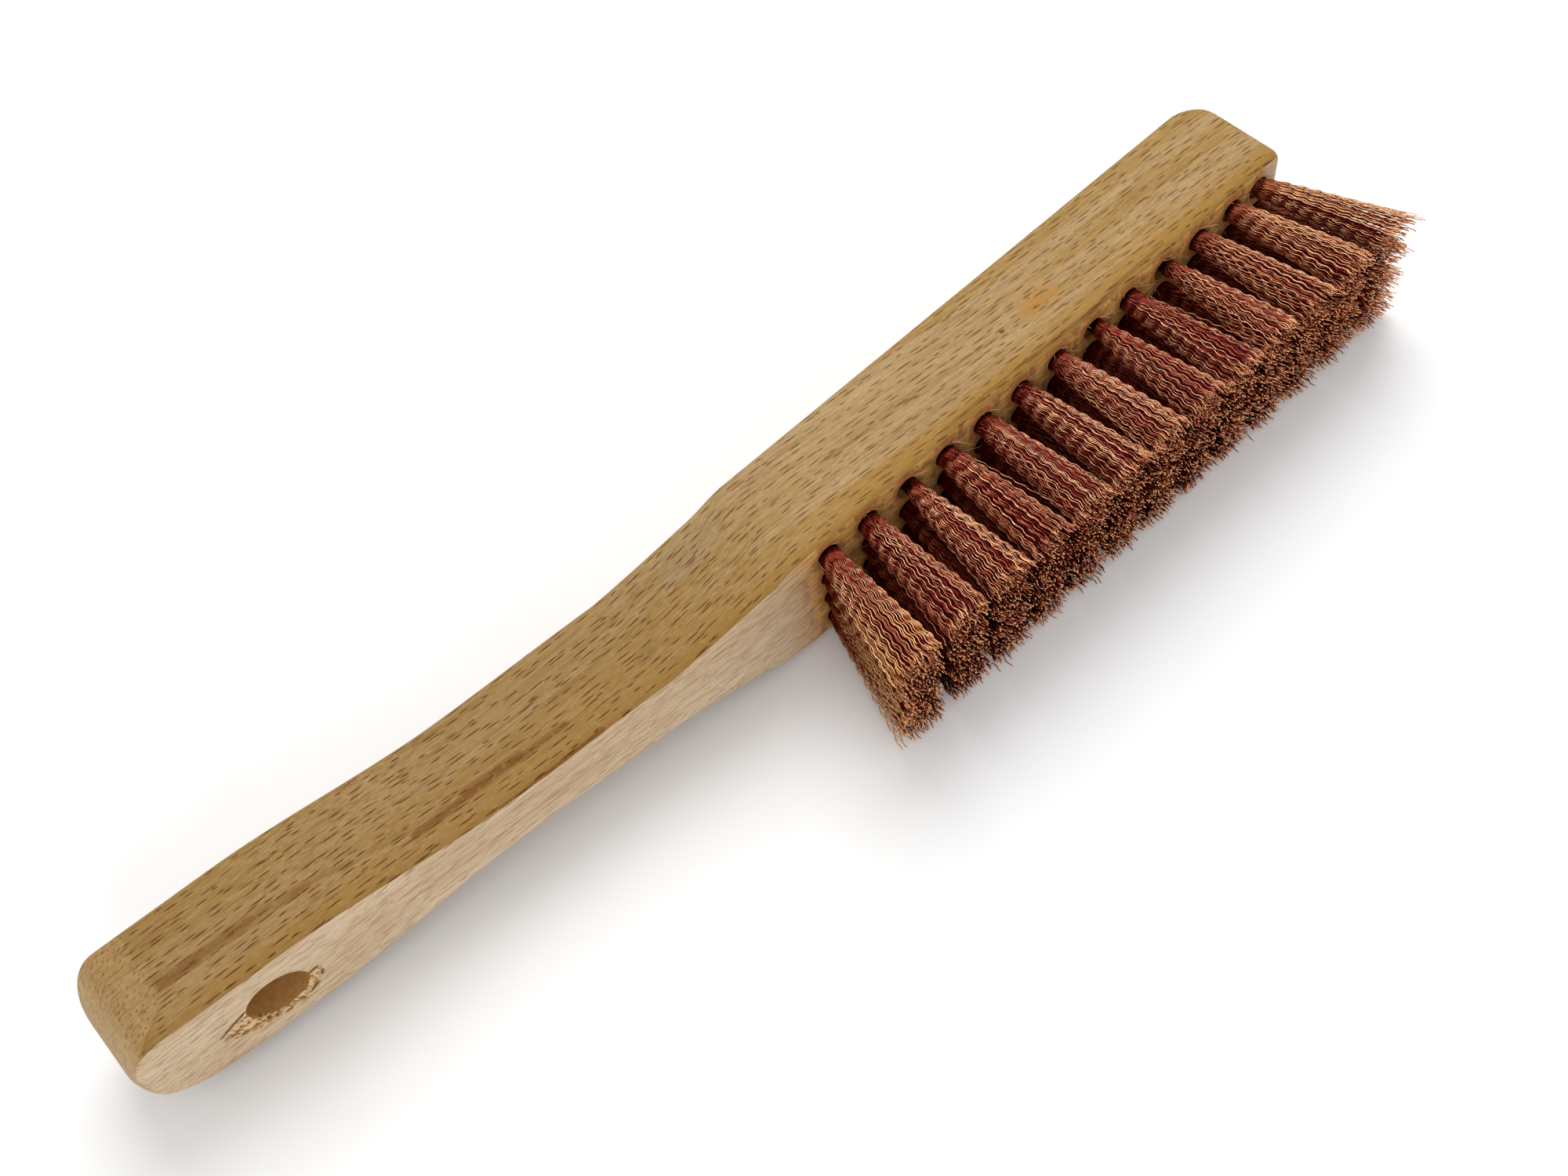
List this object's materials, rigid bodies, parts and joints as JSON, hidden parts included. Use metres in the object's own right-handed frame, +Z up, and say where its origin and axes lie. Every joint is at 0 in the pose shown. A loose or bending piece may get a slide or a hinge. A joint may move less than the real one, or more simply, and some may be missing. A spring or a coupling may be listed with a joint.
{
  "type": "hand wire brush",
  "caption": "Hand wire brush: a one-piece wooden handle and block with rows of crimped copper-coloured wire tufts, for scrubbing rust, paint and scale.",
  "frame": {"origin": "centre of the block's lower side face, on which the brush lies", "axes": "+X runs to the block's tip, away from the handle; +Z runs up through the block's width, square to the face the brush lies on; +Y points to the back of the wood, so the bristles point to -Y"},
  "size_m": [0.2766, 0.0609, 0.031],
  "materials": {
    "beech": "satin, sanded and thinly oiled",
    "copper_wire": "bright copper-coloured wire, crimped"
  },
  "bodies": {
    "root": {"handle": "beech", "tuft_row1_column01": "copper_wire", "tuft_row1_column02": "copper_wire", "tuft_row1_column03": "copper_wire", "tuft_row1_column04": "copper_wire", "tuft_row1_column05": "copper_wire", "tuft_row1_column06": "copper_wire", "tuft_row1_column07": "copper_wire", "tuft_row1_column08": "copper_wire", "tuft_row1_column09": "copper_wire", "tuft_row1_column10": "copper_wire", "tuft_row1_column11": "copper_wire", "tuft_row1_column12": "copper_wire", "tuft_row1_column13": "copper_wire", "tuft_row2_column01": "copper_wire", "tuft_row2_column02": "copper_wire", "tuft_row2_column03": "copper_wire", "tuft_row2_column04": "copper_wire", "tuft_row2_column05": "copper_wire", "tuft_row2_column06": "copper_wire", "tuft_row2_column07": "copper_wire", "tuft_row2_column08": "copper_wire", "tuft_row2_column09": "copper_wire", "tuft_row2_column10": "copper_wire", "tuft_row2_column11": "copper_wire", "tuft_row2_column12": "copper_wire", "tuft_row2_column13": "copper_wire", "tuft_row3_column01": "copper_wire", "tuft_row3_column02": "copper_wire", "tuft_row3_column03": "copper_wire", "tuft_row3_column04": "copper_wire", "tuft_row3_column05": "copper_wire", "tuft_row3_column06": "copper_wire", "tuft_row3_column07": "copper_wire", "tuft_row3_column08": "copper_wire", "tuft_row3_column09": "copper_wire", "tuft_row3_column10": "copper_wire", "tuft_row3_column11": "copper_wire", "tuft_row3_column12": "copper_wire", "tuft_row3_column13": "copper_wire", "tuft_row4_column01": "copper_wire", "tuft_row4_column02": "copper_wire", "tuft_row4_column03": "copper_wire", "tuft_row4_column04": "copper_wire", "tuft_row4_column05": "copper_wire", "tuft_row4_column06": "copper_wire", "tuft_row4_column07": "copper_wire", "tuft_row4_column08": "copper_wire", "tuft_row4_column09": "copper_wire", "tuft_row4_column10": "copper_wire", "tuft_row4_column11": "copper_wire", "tuft_row4_column12": "copper_wire", "tuft_row4_column13": "copper_wire"}
  },
  "joints": []
}
